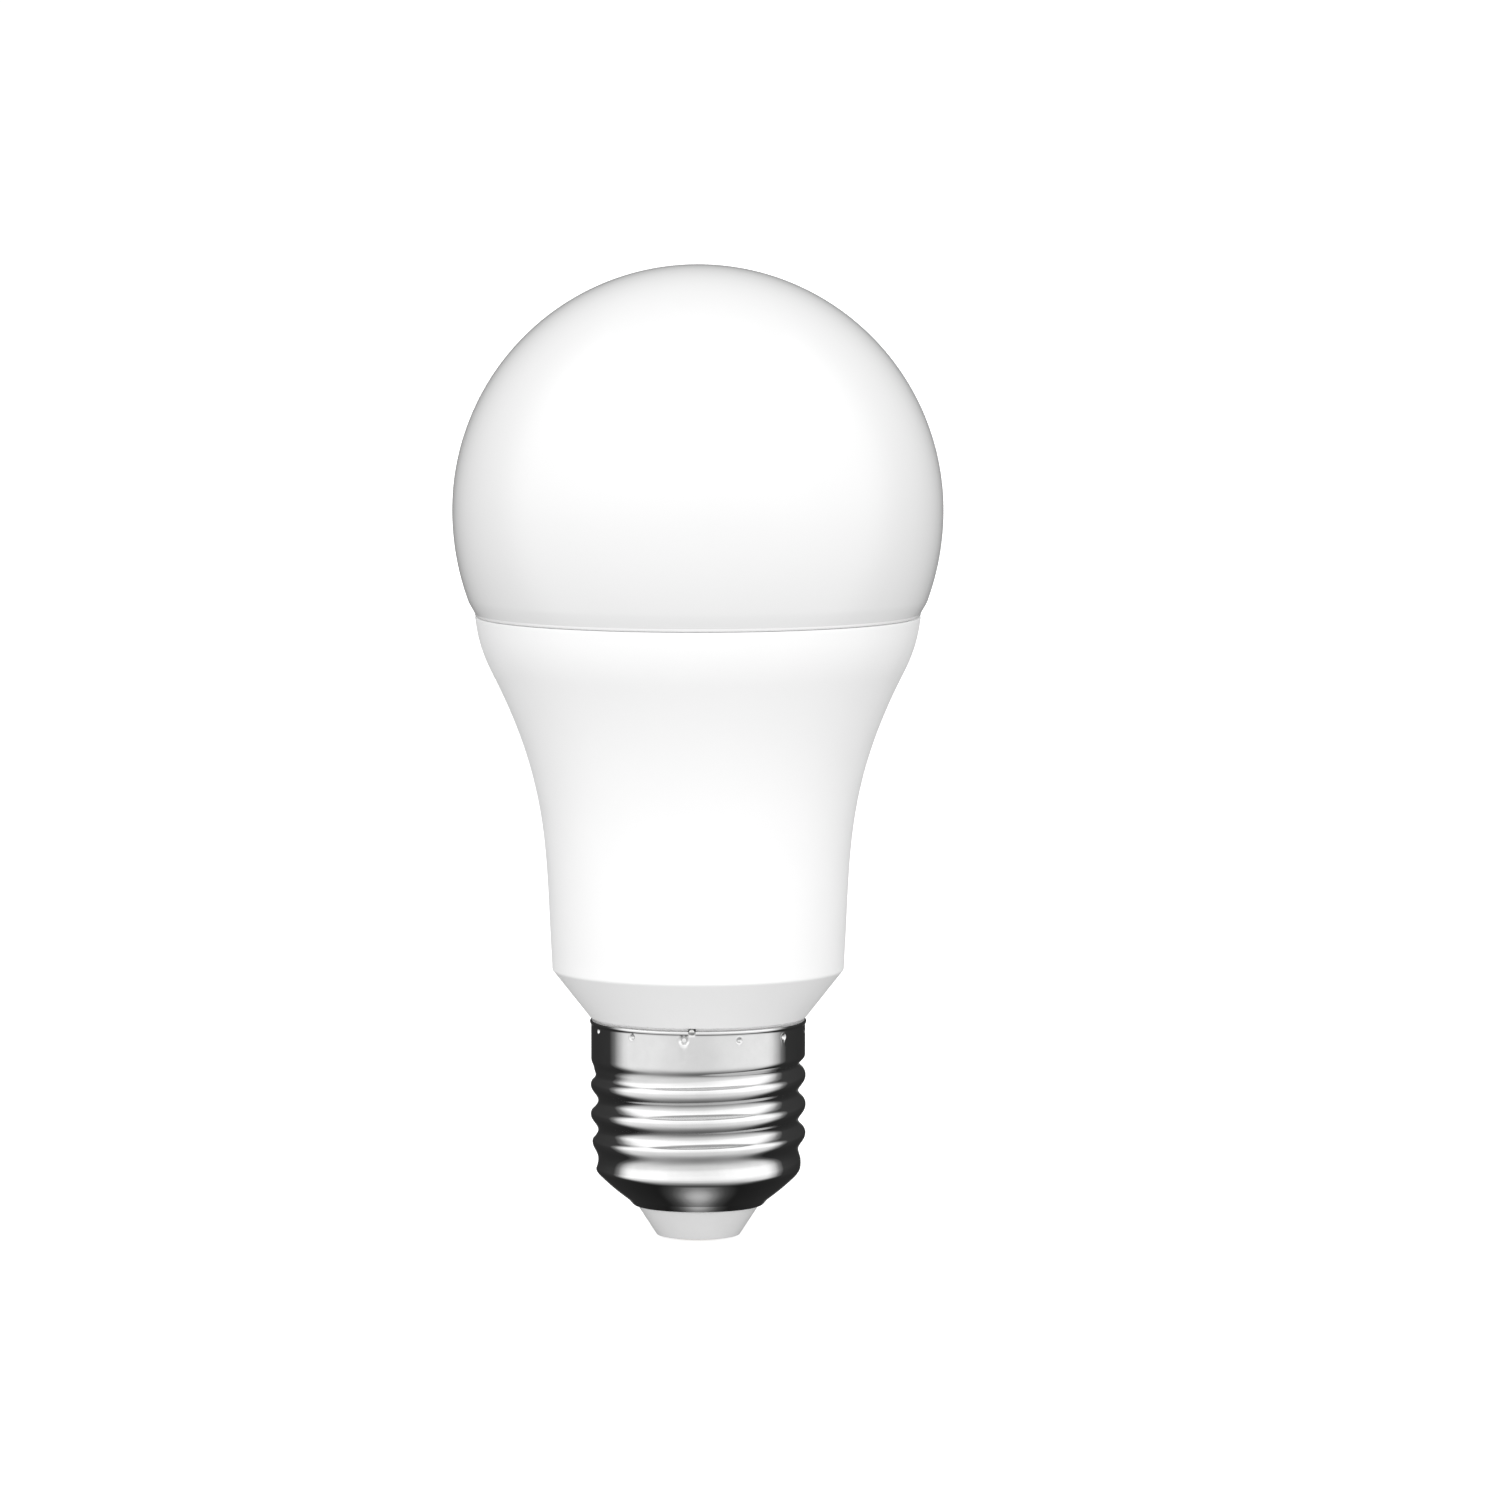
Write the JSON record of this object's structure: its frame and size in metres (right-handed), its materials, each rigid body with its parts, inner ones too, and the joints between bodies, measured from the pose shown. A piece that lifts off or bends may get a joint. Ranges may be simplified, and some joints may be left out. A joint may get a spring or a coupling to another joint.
{
  "type": "smart light bulb",
  "caption": "Round frosted LED lamp on a flared white housing with an Edison screw cap, with its LED board, driver and wireless module inside.",
  "frame": {"origin": "on the axis, at the lower face of the centre contact", "axes": "+Z along the axis to the top of the globe, -Y to the front; the wireless module is on the +Y side"},
  "size_m": [0.06, 0.06, 0.1192],
  "materials": {
    "opal_globe": "smooth opal polycarbonate, softly glossy",
    "housing_plastic": "satin moulded white plastic",
    "silicone": "cured white silicone",
    "heat_sink": "drawn aluminium, matt",
    "cap_metal": "bright nickel plate, drawn and rolled",
    "cap_plastic": "pale grey moulded insulator",
    "contact_metal": "turned brass",
    "led_board_white": "white solder mask on aluminium",
    "warm_phosphor": "white package filled with amber phosphor gel",
    "cool_phosphor": "white package filled with yellow phosphor gel",
    "screw_steel": "zinc-plated steel",
    "paste": "white thermal paste",
    "socket_plastic": "white nylon",
    "pin_metal": "gold-flashed pins",
    "driver_board_green": "green solder mask on glass-fibre board",
    "resistor_body": "lacquered resistor body",
    "varistor_blue": "blue epoxy coat",
    "film_box": "moulded box",
    "chip_black": "black moulding compound",
    "capacitor_can": "shrink-sleeved aluminium can",
    "ferrite": "dark sintered ferrite",
    "copper_winding": "enamelled copper wire",
    "bobbin_black": "black phenolic",
    "winding_tape": "yellow polyester tape",
    "chip_ceramic": "tan ceramic with tinned ends",
    "module_board_blue": "dark blue solder mask",
    "shield_metal": "tinned sheet steel",
    "antenna_copper": "gold-flashed copper trace",
    "live_insulation": "red wire insulation",
    "tinned_wire": "bare tinned copper wire"
  },
  "bodies": {
    "root": {"diffuser": "opal_globe", "sealing_bead": "silicone", "housing": "housing_plastic", "heat_sink_cup": "heat_sink", "screw_shell": "cap_metal", "cap_insulator": "cap_plastic", "centre_contact": "contact_metal", "led_board": "led_board_white", "warm_white_leds": "warm_phosphor", "cool_white_leds": "cool_phosphor", "led_board_screws": "screw_steel", "thermal_paste": "paste", "led_socket": "socket_plastic", "supply_pins": "pin_metal", "driver_board": "driver_board_green", "fusible_resistor": "resistor_body", "varistor": "varistor_blue", "film_capacitor": "film_box", "bridge_rectifier": "chip_black", "input_capacitor": "capacitor_can", "output_capacitor": "capacitor_can", "choke_core": "ferrite", "choke_winding": "copper_winding", "transformer_core": "ferrite", "transformer_bobbin": "bobbin_black", "transformer_winding": "winding_tape", "driver_chip": "chip_black", "dimming_transistors": "chip_black", "voltage_regulator": "chip_black", "chip_resistors": "chip_black", "chip_capacitors": "chip_ceramic", "wireless_board": "module_board_blue", "wireless_shield_can": "shield_metal", "antenna_trace": "antenna_copper", "wireless_header": "bobbin_black", "wireless_pins": "pin_metal", "live_wire": "live_insulation", "neutral_wire": "tinned_wire"}
  },
  "joints": []
}
